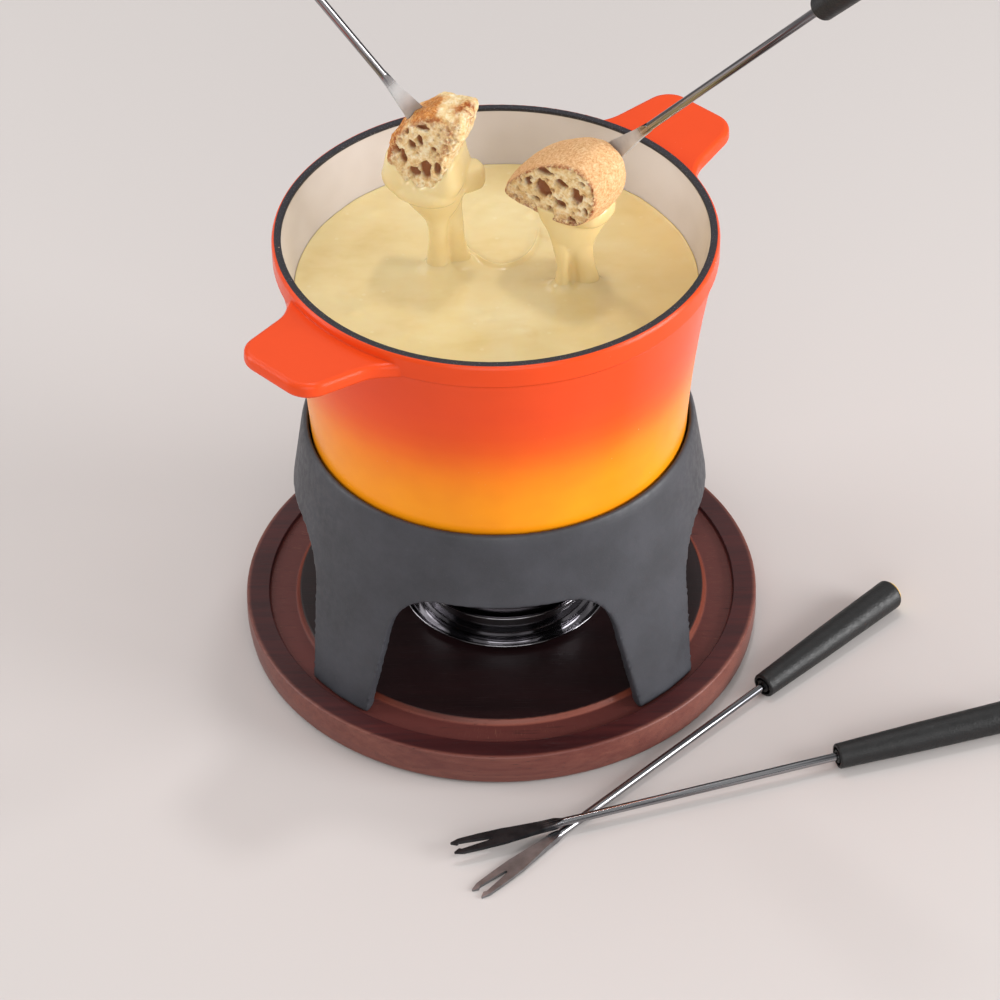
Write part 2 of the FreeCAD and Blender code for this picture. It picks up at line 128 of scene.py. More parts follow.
class Surface:
    """One material: its Principled shader and short ways to wire nodes to it."""

    def __init__(self, name, **shader):
        self.material = bpy.data.materials.new(name)
        self.material.use_nodes = True
        self.tree = self.material.node_tree
        self.shader = self.tree.nodes["Principled BSDF"]
        self.set(**shader)
        self.place = self.node("ShaderNodeTexCoord").outputs["Object"]

    def feed(self, socket, value):
        if isinstance(value, bpy.types.NodeSocket):
            self.tree.links.new(value, socket)
        else:
            socket.default_value = value

    def set(self, **shader):
        for name, value in shader.items():
            self.feed(self.shader.inputs[name.replace("_", " ")], value)

    def node(self, kind, inputs=(), **settings):
        new = self.tree.nodes.new(kind)
        for name, value in settings.items():
            setattr(new, name, value)
        for name, value in dict(inputs).items():
            self.feed(new.inputs[name], value)
        return new

    def math(self, operation, first, second=0.0):
        return self.node("ShaderNodeMath", {0: first, 1: second}, operation=operation).outputs[0]

    def plus(self, first, second):
        return self.math("ADD", first, second)

    def minus(self, first, second):
        return self.math("SUBTRACT", first, second)

    def times(self, first, second):
        return self.math("MULTIPLY", first, second)

    def axes(self):
        return self.node("ShaderNodeSeparateXYZ", {0: self.place}).outputs

    def radius(self, centre_x=0.0):
        x, y, _ = self.axes()
        x = self.minus(x, centre_x)
        return self.math("SQRT", self.plus(self.times(x, x), self.times(y, y)))

    def stretched(self, x, y, z):
        return self.node("ShaderNodeVectorMath", {0: self.place, 1: (x, y, z)},
                         operation="MULTIPLY").outputs[0]

    def joined(self, *parts):
        return self.node("ShaderNodeCombineXYZ", dict(enumerate(parts))).outputs[0]

    def noise(self, scale, detail=3.0, rough=0.55, at=None):
        inputs = {"Vector": at or self.place, "Scale": scale, "Detail": detail, "Roughness": rough}
        return self.node("ShaderNodeTexNoise", inputs).outputs[0]

    def cells(self, scale):
        inputs = {"Vector": self.place, "Scale": scale}
        return self.node("ShaderNodeTexVoronoi", inputs).outputs["Distance"]

    def band(self, value, low, high, start=0.0, end=1.0):
        return self.node("ShaderNodeMapRange", {0: value, 1: low, 2: high, 3: start, 4: end},
                         interpolation_type="SMOOTHSTEP").outputs[0]

    def ramp(self, value, *stops):
        new = self.node("ShaderNodeValToRGB", {0: value})
        marks = new.color_ramp.elements
        while len(marks) < len(stops):
            marks.new(0.5)
        for mark, (position, code) in zip(marks, stops):
            mark.position = position
            mark.color = colour(code)
        return new.outputs[0]

    def mix(self, factor, first, second):
        new = self.node("ShaderNodeMix", data_type="RGBA")
        for index, value in ((0, factor), (6, first), (7, second)):
            self.feed(new.inputs[index], colour(value) if isinstance(value, str) else value)
        return new.outputs[2]

    def attribute(self, name):
        return self.node("ShaderNodeAttribute", attribute_name=name).outputs["Fac"]

    def bump(self, height, distance, strength, normal=None):
        inputs = {"Height": height, "Distance": distance, "Strength": strength}
        new = self.node("ShaderNodeBump", inputs)
        if normal:
            self.feed(new.inputs["Normal"], normal)
        return new.outputs[0]

    def rounded(self, radius):
        return self.node("ShaderNodeBevel", {"Radius": radius}, samples=4).outputs[0]

    def paint(self, *names):
        """Puts this material on whole CAD nodes."""
        for name in names:
            slots = NODES[name].data.materials
            slots.clear()
            slots.append(self.material)
        return self


def enamel():
    """Cream inside, charcoal rim, and orange-red that fades to amber towards the foot."""
    s = Surface("pot_enamel", Specular_IOR_Level=0.24)
    z = s.axes()[2]
    radius = s.radius()
    outside = s.ramp(s.node("ShaderNodeMapRange", {0: z, 1: FADE_LOW, 2: FADE_HIGH}).outputs[0],
                     (0.0, "FB9A12"), (0.18, "FA9412"), (0.36, "F98612"), (0.52, "F47014"),
                     (0.66, "EE5C16"), (0.80, "E95018"), (1.0, "E64A1A"))
    patchy = s.band(s.noise(38, 2), 0.35, 0.7, 0.0, 0.10)
    outside = s.mix(patchy, outside, "C93A12")
    inside_edge = s.plus(s.times(s.minus(z, WALL_Z), WALL_SLOPE), WALL_RADIUS)
    inside = s.band(s.minus(radius, inside_edge), 0.0004, 0.0002)
    cream = s.mix(s.band(s.noise(30, 2), 0.3, 0.7), "CFC5C0", "D8CFCB")
    body = s.mix(inside, outside, cream)
    wobble = s.times(s.minus(s.noise(260, 2), 0.5), 0.0006)
    rim = s.band(s.plus(z, wobble), RIM_Z - 0.0011, RIM_Z - 0.0006)
    inner_rim = s.times(s.band(radius, RIM_INNER + 0.0003, RIM_INNER),
                        s.band(z, RIM_Z - 0.0017, RIM_Z - 0.0012))
    outer_rim = s.times(rim, s.band(radius, RIM_OUTER + 0.0003, RIM_OUTER))
    rim = s.math("MAXIMUM", outer_rim, inner_rim)
    charcoal = s.mix(s.band(s.noise(1500, 2), 0.60, 0.72), "2E2C31", "6F6C70")
    body = s.mix(rim, body, charcoal)
    speck = s.times(s.band(s.cells(160), 0.055, 0.03), s.band(s.noise(55, 1), 0.50, 0.58))
    body = s.mix(s.times(speck, 0.55), body, "F6D9B8")
    s.set(Base_Color=body, Roughness=s.plus(s.times(rim, 0.25), 0.27),
          Normal=s.bump(s.noise(90, 2), 0.0004, 0.25, s.rounded(0.0012)))
    return s


def cast_iron():
    s = Surface("stand_cast_iron", Specular_IOR_Level=0.42)
    tone = s.mix(s.band(s.noise(45, 4), 0.3, 0.75), "36373C", "404147")
    tone = s.mix(s.band(s.noise(1400, 2), 0.62, 0.85), tone, "4C4C52")
    grain = s.plus(s.noise(900, 3, 0.7), s.times(s.noise(120, 2), 0.8))
    s.set(Base_Color=tone, Roughness=s.band(s.noise(300, 2), 0.3, 0.7, 0.42, 0.56),
          Normal=s.bump(grain, 0.00016, 0.4))
    return s


def mahogany():
    """Stained wood with its grain along X and rubbed paler in the turned groove; its side is
    painted paler, and its raised middle under the stand is painted darker as painted shade.
    """
    s = Surface("stained_wood", Specular_IOR_Level=0.34)
    z = s.axes()[2]
    radius = s.radius()
    warp = s.noise(9, 2)
    grain = s.noise(1.0, 5, 0.65, s.stretched(22, 420, 420))
    bands = s.noise(1.0, 2, 0.5, s.stretched(4, 48, 48))
    pores = s.band(s.noise(1.0, 2, 0.6, s.stretched(60, 2400, 2400)), 0.62, 0.74)
    figure = s.plus(s.times(grain, 0.55), s.times(bands, 0.45))
    tone = s.ramp(figure, (0.25, "290C0F"), (0.45, "391315"), (0.6, "481A1A"), (0.8, "562321"))
    # Painted shade: the raised middle, under the stand and the pot, is painted darker (deep)
    plateau = s.band(radius, PLATEAU_RADIUS + 0.0012, PLATEAU_RADIUS)
    top = s.band(z, BASE_HIGH.z - 0.0008, BASE_HIGH.z - 0.0004)
    deep = s.mix(s.band(figure, 0.3, 0.7), "140507", "250B0E")
    tone = s.mix(s.times(plateau, top), tone, deep)
    # The board's side is painted paler than its top
    side = s.band(radius, BOARD_RADIUS - 0.0025, BOARD_RADIUS - 0.0008)
    pale = s.mix(s.band(figure, 0.3, 0.7), "6E3A34", "8A5548")
    tone = s.mix(s.times(side, 0.75), tone, pale)
    x, y, _ = s.axes()
    angle = s.math("ARCTAN2", y, x)
    spoke = s.joined(s.times(angle, 120.0), s.times(radius, 60.0))
    scratch = s.band(s.noise(2.2, 3, 0.7, spoke), 0.58, 0.72)
    groove = s.times(s.band(z, BASE_HIGH.z - 0.0014, BASE_HIGH.z - 0.0022),
                    s.band(radius, GROOVE_RADIUS + 0.0020, GROOVE_RADIUS))
    worn = s.times(groove, s.band(s.noise(34, 3), 0.38, 0.62))
    tone = s.mix(s.times(groove, 0.80), tone, "6A3530")
    tone = s.mix(s.times(worn, s.times(scratch, 0.8)), tone, "94604A")
    edge = s.times(s.band(radius, PLATEAU_RADIUS - 0.0002, PLATEAU_RADIUS + 0.0006),
                  s.band(radius, WEAR_RADIUS + 0.0010, WEAR_RADIUS))
    tone = s.mix(s.times(edge, s.band(warp, 0.3, 0.6, 0.25, 0.70)), tone, "8A4430")
    tone = s.mix(pores, tone, "1C0709")
    rough = s.band(s.plus(figure, s.times(groove, 0.3)), 0.3, 0.9, 0.40, 0.56)
    height = s.minus(s.times(grain, 0.6), pores)
    s.set(Base_Color=tone, Roughness=rough, Coat_Weight=0.10, Coat_Roughness=0.3,
          Normal=s.bump(height, 0.00012, 0.5))
    return s


# How fine the turned and drawn marks on steel are: round the burner, along a fork and across it
RING_SCALE = 2600.0
ALONG_SCALE, ACROSS_SCALE = 9.0, 620.0
# A blade reaches this far from the tips of its tines
BLADE_LENGTH = 0.040


def burner_steel(name, tone, rough):
    """Spun sheet steel: fine rings round its own axis, with a few smudges."""
    s = Surface(name, Metallic=1.0)
    centre = sum(corner.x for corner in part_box("burner_shell")) / 2
    spun = s.joined(s.times(s.radius(centre), RING_SCALE), s.times(s.axes()[2], RING_SCALE))
    rings = s.noise(1.0, 3, 0.6, spun)
    smudge = s.noise(70, 3)
    s.set(Base_Color=s.mix(s.band(smudge, 0.35, 0.7, 0.0, 0.5), tone, "5B585C"),
          Roughness=s.band(s.plus(s.times(rings, 0.5), s.times(smudge, 0.5)),
                           0.35, 0.65, rough, rough + 0.08),
          Normal=s.bump(rings, 0.000002, 0.5))
    return s


# Each blade's light and dark tone, and how metallic it is, set per fork as painted reflection:
# those on the table are more metallic, fork_2's is painted dark, those in the pot are painted pale
BLADE_PAINTED_REFLECTIONS = {"fork_1": ("8E8E90", "7A7A7C", 0.9), "fork_2": ("424245", "303033", 0.9),
          "fork_3": ("C4C6C8", "B4B7BA", 0.35), "fork_4": ("C4C6C8", "B4B7BA", 0.35)}


def fork_steel(fork):
    """Drawn and polished steel with faint draw marks along this fork's own length."""
    s = Surface(fork + "_polished_steel", Metallic=1.0)
    tips, grip = fork_ends(fork)
    along = (grip - tips).normalized()
    side = along.orthogonal().normalized()
    other = along.cross(side)
    coordinates = []
    for axis, scale in ((along, ALONG_SCALE), (side, ACROSS_SCALE), (other, ACROSS_SCALE)):
        dot = s.node("ShaderNodeVectorMath", {0: s.place, 1: axis}, operation="DOT_PRODUCT")
        coordinates.append(s.times(dot.outputs["Value"], scale))
    drawn = s.noise(1.0, 3, 0.6, s.joined(*coordinates))
    start = tips.dot(along)
    reach = s.minus(s.math("DIVIDE", coordinates[0], ALONG_SCALE), start)
    blade = s.band(reach, BLADE_LENGTH + 0.010, BLADE_LENGTH)
    light, dark, metal = BLADE_PAINTED_REFLECTIONS[fork]
    shaft_tone = s.mix(s.band(drawn, 0.42, 0.58), "58585C", "9C9C9F")
    # The blade's tones and metalness per fork are painted reflection, not a different steel
    blade_painted_reflection = s.mix(s.band(s.noise(160, 3), 0.3, 0.7), dark, light)
    s.set(Base_Color=s.mix(blade, shaft_tone, blade_painted_reflection),
          Metallic=s.band(blade, 0.0, 1.0, 1.0, metal),
          Roughness=s.band(blade, 0.0, 1.0, 0.16, 0.36),
          Normal=s.bump(drawn, 0.00003, 0.5))
    return s


def grip_plastic():
    s = Surface("grip_black_plastic", Specular_IOR_Level=0.42)
    grain = s.plus(s.cells(900), s.times(s.noise(1900, 2, 0.6), 0.7))
    s.set(Base_Color=s.mix(s.band(s.noise(140, 3), 0.35, 0.7), "0F0F10", "171718"),
          Roughness=s.band(s.noise(420, 2), 0.3, 0.7, 0.40, 0.52),
          Normal=s.bump(grain, 0.00016, 0.5))
    return s


def cap_plastic(name, light, dark):
    s = Surface(name, Specular_IOR_Level=0.5)
    s.set(Base_Color=s.mix(s.band(s.noise(260, 3), 0.35, 0.65), light, dark),
          Roughness=s.band(s.noise(600, 2), 0.3, 0.7, 0.22, 0.34),
          Normal=s.bump(s.noise(800, 2), 0.00004, 0.5))
    return s


def pad_wool():
    s = Surface("pad_mineral_wool", Specular_IOR_Level=0.2, Sheen_Weight=0.2)
    fibre = s.plus(s.noise(1.0, 4, 0.7, s.stretched(1800, 260, 600)),
                   s.noise(1.0, 4, 0.7, s.stretched(260, 1800, 600)))
    tone = s.ramp(s.times(fibre, 0.5), (0.3, "B9B3A6"), (0.6, "DAD5C9"), (0.8, "ECE8DF"))
    s.set(Base_Color=tone,
          Roughness=0.95, Normal=s.bump(fibre, 0.0006, 0.8))
    return s


def gauze_wire():
    s = Surface("gauze_wire", Metallic=1.0)
    s.set(Base_Color=s.mix(s.noise(300, 3), "8C8A86", "A9A7A3"),
          Roughness=s.band(s.noise(900, 2), 0.3, 0.7, 0.3, 0.5))
    return s


def cheese_surface(name):
    """Glossy melted cheese, clouded and slightly oily, paler where it has been stirred."""
    s = Surface(name, Specular_IOR_Level=0.55, Subsurface_Weight=0.22, Subsurface_Scale=0.004)
    s.shader.inputs["Subsurface Radius"].default_value = (1.0, 0.62, 0.22)
    cloud = s.noise(26, 4, 0.55)
    swirl = s.noise(60, 3, 0.5, s.stretched(1.0, 2.2, 1.0))
    tone = s.ramp(s.plus(s.times(cloud, 0.7), s.times(swirl, 0.3)),
                  (0.30, "E0C588"), (0.45, "E8D097"), (0.58, "EBD6A0"), (0.72, "F0DFAE"))
    tone = s.mix(s.band(s.cells(120), 0.16, 0.05, 0.0, 0.22), tone, "F7EBC0")
    golden = s.plus(s.band(s.axes()[0], 0.02, 0.09, 0.0, 0.55),
                    s.band(s.noise(40, 3), 0.60, 0.76, 0.0, 0.3))
    tone = s.mix(golden, tone, "D6AA5E")
    height = s.plus(s.noise(70, 2, 0.4), s.times(s.noise(420, 2), 0.06))
    s.set(Base_Color=tone, Roughness=s.band(s.noise(80, 3), 0.35, 0.7, 0.10, 0.20),
          Normal=s.bump(height, 0.0005, 0.3))
    return s


def bread_surface(name, crust_light, crust_dark, toasted):
    """Crumb, crust and toasted rims from the masks that the mesh carries, with painted shade in its
    air holes and small pores.
    """
    s = Surface(name, Specular_IOR_Level=0.25, Subsurface_Weight=0.08, Subsurface_Scale=0.002)
    crust, toast, hole_depth_and_shade = (s.attribute(mask) for mask in ("crust", "toast", "hole_depth_and_shade"))
    crumb = s.ramp(s.noise(330, 4, 0.7), (0.3, "D2A568"), (0.5, "EBCF9C"), (0.7, "FAEFD2"))
    flour = s.ramp(s.noise(900, 4, 0.75), (0.35, crust_dark), (0.52, crust_light), (0.68, "F0CFA2"))
    tone = s.mix(crust, crumb, flour)
    speckle = s.band(s.noise(520, 4, 0.7), 0.36, 0.62)
    tone = s.mix(s.times(toast, speckle), tone, toasted)
    # Painted shade: the air holes are painted dark brown on top of their real depth
    tone = s.mix(s.band(hole_depth_and_shade, 0.15, 0.75, 0.0, 0.9), tone, "8E4E2B")
    # Painted shade: small pores in the crumb are painted darker as well as dented by the bump
    small_pores_and_shade = s.times(s.band(s.cells(430), 0.30, 0.12), s.minus(1.0, crust))
    tone = s.mix(s.times(small_pores_and_shade, 0.30), tone, "C08A52")
    height = s.minus(s.noise(700, 4, 0.7), s.times(small_pores_and_shade, 0.8))
    s.set(Base_Color=tone, Roughness=s.band(s.noise(200, 2), 0.3, 0.7, 0.7, 0.9),
          Normal=s.bump(height, 0.0006, 0.8))
    return s


def fork_ends(fork):
    """The tips of a fork's tines and the far end of its grip, read from the two nodes' shapes."""
    steel = [v.co for v in NODES[fork + "_steel"].data.vertices]
    cap_low, cap_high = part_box(fork + "_cap")
    far = (cap_low + cap_high) / 2
    tip = max(steel, key=lambda point: (point - far).length)
    return tip, far


def add_object(name, data):
    new = bpy.data.objects.new(name, data)
    bpy.context.scene.collection.objects.link(new)
    return new


def mesh_object(name, points, faces, material, masks=None):
    mesh = bpy.data.meshes.new(name)
    mesh.from_pydata([tuple(p) for p in points], [], faces)
    mesh.update()
    for mask, values in (masks or {}).items():
        mesh.attributes.new(mask, "FLOAT", "POINT").data.foreach_set("value", values)
    mesh.polygons.foreach_set("use_smooth", [True] * len(mesh.polygons))
    piece = add_object(name, mesh)
    mesh.materials.append(material)
    return piece


def ringed(rings, low_pole, high_pole):
    """Points and faces of a closed surface through rings of points, with a point at each end."""
    count = len(rings[0])
    points = [low_pole] + [p for ring in rings for p in ring] + [high_pole]
    last = len(points) - 1
    faces = []
    for j in range(count):
        k = (j + 1) % count
        faces.append((0, 1 + k, 1 + j))
        for i in range(len(rings) - 1):
            a, b = 1 + i * count, 1 + (i + 1) * count
            faces.append((a + j, a + k, b + k, b + j))
        top = 1 + (len(rings) - 1) * count
        faces.append((top + j, top + k, last))
    return points, faces


def around(count):
    """The cosine and sine of evenly spread angles."""
    angles = [2 * math.pi * j / count for j in range(count)]
    return [(math.cos(angle), math.sin(angle)) for angle in angles]


def curve_value(a, b, c, d, f):
    """The smooth curve through b and c, a share f of the way between them."""
    return 0.5 * (2 * b + (c - a) * f + (2 * a - 5 * b + 4 * c - d) * f * f
                  + (3 * b - a - 3 * c + d) * f ** 3)


def add_part(points, faces, part_points, part_faces):
    """Adds a closed part to a growing mesh."""
    base = len(points)
    points.extend(part_points)
    faces.extend([[base + i for i in face] for face in part_faces])


def cube_sphere(cuts):
    """Points and faces of a cube of side 2, evenly divided."""
    shell = bmesh.new()
    bmesh.ops.create_cube(shell, size=2)
    bmesh.ops.subdivide_edges(shell, edges=shell.edges[:], cuts=cuts, use_grid_fill=True)
    shell.verts.ensure_lookup_table()
    points = [v.co.copy() for v in shell.verts]
    faces = [[v.index for v in f.verts] for f in shell.faces]
    shell.free()
    return points, faces


def fractal(point, size, octaves=3):
    """Soft noise from about -1 to 1 with features of this size, in metres."""
    return noise.fractal(point / size, 1.0, 2.0, octaves)


# Where the strings of cheese land in the pot: centre, half width and half depth
LANDINGS = [(Vector((-0.0262, 0.0116)), 0.0056, 0.0044),
            (Vector((-0.0168, 0.0148)), 0.0062, 0.0038),
            (Vector((0.0288, -0.0042)), 0.0036, 0.0036),
            (Vector((0.0345, -0.0019)), 0.0078, 0.0022),
            (Vector((0.0408, -0.0030)), 0.0055, 0.0043)]
# The rope of cheese that lies in a loop on the surface between the two strings
LOOP_CENTRE = Vector((0.0020, 0.0390))
LOOP_HALF = Vector((0.0175, 0.0275))
# How high each feature of the surface stands
LANDING_RISE = 0.0034
LOOP_RISE = 0.0016
WALL_RISE = 0.0012
CURD_RISE = 0.0008
TRAIL_RISE = 0.0005


def cheese_height(x, y, wall):
    """Height of the melted cheese above its resting level."""
    here = Vector((x, y, 0))
    low = 0.00050 * fractal(here + Vector((0.3, 0.1, 0)), 0.034, 2)
    low += 0.00012 * fractal(here + Vector((0.1, 0.7, 0)), 0.014, 1)
    distances, _ = noise.voronoi(here / 0.013)
    curd = smooth(noise.noise(here / 0.045 + Vector((5, 2, 1))), 0.12, 0.45)
    low += CURD_RISE * curd * smooth(distances[0], 0.42, 0.0)
    low += WALL_RISE * math.exp(-max(wall, 0) / 0.0022)
    rise = 0.0
    for centre, half_width, half_depth in LANDINGS:
        away = math.hypot((x - centre.x) / half_width, (y - centre.y) / half_depth)
        rise = max(rise, math.exp(-max(away - 0.9, 0) * 1.7))
    low += LANDING_RISE * rise
    turn = math.hypot((x - LOOP_CENTRE.x) / LOOP_HALF.x, (y - LOOP_CENTRE.y) / LOOP_HALF.y)
    side = math.atan2(-(y - LOOP_CENTRE.y), x - LOOP_CENTRE.x)
    front = 0.0
    if side > -0.3:
        front = smooth(side, -0.25, 0.25) * smooth(math.pi - side, -0.25, 0.25)
    low += LOOP_RISE * front * math.exp(-((turn - 1.0) / 0.050) ** 2)
    low -= 0.0006 * smooth(turn, 1.0, 0.8)
    trail = abs((x + 0.012) * 0.5 + (y + 0.030)) / 0.012
    low += TRAIL_RISE * math.exp(-trail * trail) * smooth(x, -0.06, 0.0) * smooth(-x, -0.06, 0.0)
    return low


def pool(material):
    """The melted cheese: a stirred top, and a body that follows the pot's wall to its floor."""
    outline = {}
    for vertex in NODES["melted_cheese"].data.vertices:
        level = round(vertex.co.z, 4)
        reach = math.hypot(vertex.co.x, vertex.co.y)
        outline[level] = max(outline.get(level, 0.0), reach)
    wall = outline[max(outline)]
    circle = around(400)
    rows = 170
    gap = 0.0001
    rings = []
    for level in sorted(outline)[1:-1]:
        reach = outline[level] - gap
        rings.append([Vector((reach * cosine, reach * sine, level)) for cosine, sine in circle])
    for i in range(rows, 0, -1):
        reach = wall * i / rows - gap
        ring = []
        for cosine, sine in circle:
            x, y = reach * cosine, reach * sine
            ring.append(Vector((x, y, CHEESE_Z + cheese_height(x, y, wall - reach))))
        rings.append(ring)
    floor = Vector((0, 0, min(outline) + gap))
    peak = Vector((0, 0, CHEESE_Z + cheese_height(0, 0, wall)))
    points, faces = ringed(rings, floor, peak)
    piece = mesh_object("cheese_pool", points, faces, material)
    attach(piece, "pot")
    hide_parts("melted_cheese")


def chunk_frame():
    return (Matrix.Translation(CHUNK_CENTRE) @ Matrix.Rotation(CHUNK_TURN, 4, "Z")
            @ Matrix.Rotation(CHUNK_TILT, 4, "X"))


def crumb_pit(point, size, chance):
    """How deep an air hole is here, 0 to 1, for holes of about this size."""
    distances, spots = noise.voronoi(point / size)
    picked = noise.cell(spots[0] * 7.31)
    if picked % 1.0 > chance:
        return 0.0
    return smooth(distances[0], 0.46, 0.16)


def chunk_surface(corner):
    """The torn chunk's plain shape in its own axes: a soft box that leans right towards its top."""
    power = 5.5
    size = sum(abs(c) ** power for c in corner) ** (1 / power)
    unit = corner / size
    local = Vector((unit.x * CHUNK_HALF.x, unit.y * CHUNK_HALF.y, unit.z * CHUNK_HALF.z))
    local.x += 0.0050 * unit.z + 0.0042 * smooth(unit.z, -0.2, 1.0) * smooth(-unit.x, 0.0, 1.0)
    local.x -= 0.0045 * smooth(unit.x, 0.3, 1.0) * math.exp(-((unit.z - 0.05) / 0.35) ** 2)
    lift = 0.0042 * unit.x - 0.0010 + 0.0012 * math.cos(unit.x * 5.0)
    local.z += smooth(unit.z, 0.3, 1.0) * lift
    pinch = 1.0 - 0.28 * smooth(-unit.z, 0.45, 1.0)
    local.x *= pinch
    local.y *= pinch
    return unit, local, Vector((unit.x ** 3, unit.y ** 3, unit.z ** 3)).normalized()


def add_coat(points, faces):
    """Adds the cheese round the chunk's lower part: thick below, thin at its ragged upper edge."""
    corners, coat_faces = cube_sphere(60)
    frame_matrix = chunk_frame()
    coat = []
    for corner in corners:
        unit, local, outward = chunk_surface(corner)
        across = (local.x / MM + 2.0) / 15.0
        edge = -0.0115 + 0.0135 * min(across * across, 1.0)
        ragged = noise.noise(Vector((local.x / 0.0034, 3.0, 0.0)))
        edge += 0.0032 * ragged * smooth(-unit.y, 0.0, 0.8)
        edge = edge if unit.y < 0 else max(edge, 0.0020)
        cover = smooth(edge - local.z, -0.0006, 0.0030)
        deep = smooth(-local.z, 0.006, 0.020)
        thick = -0.0046 + cover * (0.0055 + 0.0016 * deep) + 0.0003 * fractal(local, 0.012, 2)
        coat.append(frame_matrix @ (local + outward * thick))
    add_part(points, faces, coat, coat_faces)


# Air holes in the torn chunk's front: place across and up it, half sizes, in millimetres
CHUNK_HOLES = [(0.0, 12.0, 1.5, 3.0), (-4.0, 8.5, 2.0, 2.6), (-11.5, 4.5, 1.7, 2.4),
               (-8.5, 0.5, 1.8, 4.2), (2.0, -3.5, 2.5, 5.2), (-3.5, -6.0, 2.8, 3.4),
               (7.5, -1.5, 1.6, 3.4), (1.5, 19.0, 3.4, 1.3), (6.0, 8.0, 1.2, 1.6),
               (-6.5, 15.0, 1.2, 1.4)]


def torn_chunk(material):
    """Crumb in front and on the right, crust over the left and the top, toasted where they meet."""
    corners, faces = cube_sphere(72)
    frame_matrix = chunk_frame()
    points, crust_mask, toast_mask, hole_depth_and_shade_mask = [], [], [], []
    for corner in corners:
        unit, local, outward = chunk_surface(corner)
        rough = (0.0011 * fractal(local, 0.011, 4)
                 + 0.0004 * fractal(local + Vector((1, 0, 0)), 0.003, 3))
        torn = smooth(unit.x, 0.55, 0.95)
        patches = smooth(fractal(local + Vector((0, 2, 0)), 0.009, 3) - 0.6 * unit.x,
                         -0.35, 0.25)
        crust = max(smooth(-unit.x, 0.80, 0.96), smooth(unit.z, 0.84, 0.97) * patches)
        crust *= smooth(unit.y, -0.985, -0.90)
        front = smooth(-unit.y, 0.72, 0.95)
        hole_depth_and_shade = 0.45 * crumb_pit(local, 0.0030, 0.6)
        for x, z, half_x, half_z in CHUNK_HOLES:
            away = math.hypot((local.x / MM - x) / half_x, (local.z / MM - z) / half_z)
            hole_depth_and_shade = max(hole_depth_and_shade, smooth(away + 0.3 * fractal(local, 0.004, 2), 1.2, 0.7))
        hole_depth_and_shade *= front * (1 - crust)
        hole_depth_and_shade = max(hole_depth_and_shade, 0.5 * crumb_pit(local, 0.006, 0.4) * torn)
        local += outward * (rough - 0.0034 * hole_depth_and_shade)
        tip = math.exp(-((Vector((unit.x - 0.95, unit.y, unit.z - 0.95))).length / 0.33) ** 2)
        rim = front * max(smooth(-unit.x, 0.60, 0.92), smooth(unit.z, 0.70, 0.93))
        corner_line = math.exp(-((unit.x - 0.62) / 0.13) ** 2)
        rim = max(rim, 0.9 * front * corner_line * smooth(unit.z, -0.2, 0.3))
        points.append(frame_matrix @ local)
        crust_mask.append(crust)
        toast_mask.append(min(1.0, 0.9 * rim + 0.55 * crust + 1.3 * tip))
        hole_depth_and_shade_mask.append(hole_depth_and_shade)
    masks = {"crust": crust_mask, "toast": toast_mask, "hole_depth_and_shade": hole_depth_and_shade_mask}
    piece = mesh_object("bread_chunk", points, faces, material, masks)
    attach(piece, "fork_3")
    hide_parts("bread_left")


def closed_curve(outline, count):
    """Points spread along a smooth closed curve through an outline."""
    total = len(outline)
    found = []
    for index in range(count):
        t = index * total / count
        i, f = int(t), t - int(t)
        p = [Vector(outline[(i + k) % total]) for k in (-1, 0, 1, 2)]
        found.append(curve_value(*p, f))
    return found


# Air holes that show in the baguette's cut face: place across and up it, half sizes, in millimetres
BAGUETTE_HOLES = [(-5.7, 1.8, 4.3, 4.2), (12.0, 3.5, 2.9, 4.3), (-13.6, 2.2, 2.0, 2.1),
                  (-4.6, 11.2, 4.2, 1.9), (4.6, 8.2, 3.0, 2.1), (9.0, -9.5, 2.0, 1.7),
                  (3.2, -3.2, 3.0, 2.4), (-9.0, -5.0, 2.2, 1.3), (15.0, 12.0, 1.5, 1.2),
                  (16.4, -2.5, 1.2, 2.2), (-1.5, -8.0, 1.5, 1.6)]
# Rings of points over its cut face, along its side and over its rounded end
FACE_RINGS, SIDE_RINGS, END_RINGS = 60, 45, 23


